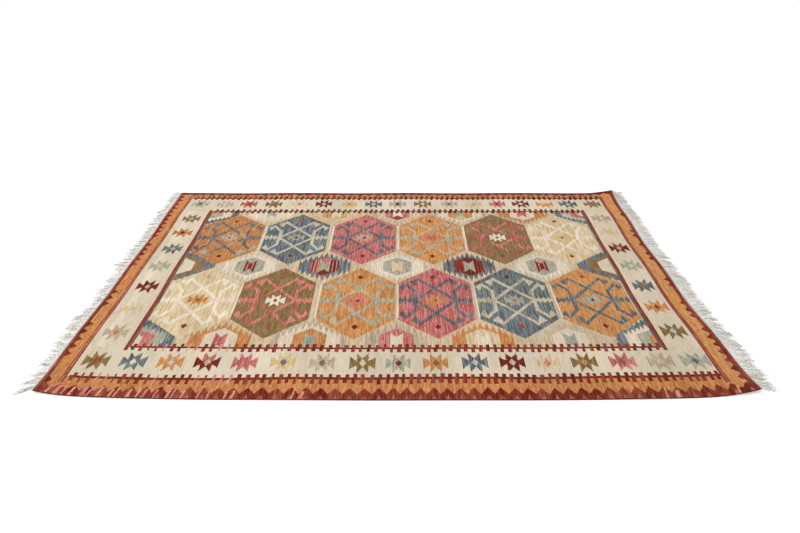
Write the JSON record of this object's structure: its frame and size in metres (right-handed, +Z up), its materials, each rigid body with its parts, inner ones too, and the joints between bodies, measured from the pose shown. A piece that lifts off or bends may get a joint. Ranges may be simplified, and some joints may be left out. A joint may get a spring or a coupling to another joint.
{
  "type": "kilim rug",
  "caption": "Flat-woven wool rug with a hexagon medallion field, a star border and a cotton warp fringe at each short end, lying open with slightly lifted corners.",
  "frame": {"origin": "middle of the whole rug's footprint, fringes included, on the surface it lies on", "axes": "+X along the warps, from one fringe to the other; +Y along the wefts, away from the front edge; +Z up, off the surface"},
  "size_m": [3.1754, 2.0574, 0.0281],
  "materials": {
    "wool": "matt weft-faced wool weave in many colours",
    "cotton": "matt off-white twisted cotton"
  },
  "bodies": {
    "root": {"kilim_cloth": "wool", "fringe_left": "cotton", "fringe_right": "cotton"}
  },
  "joints": []
}
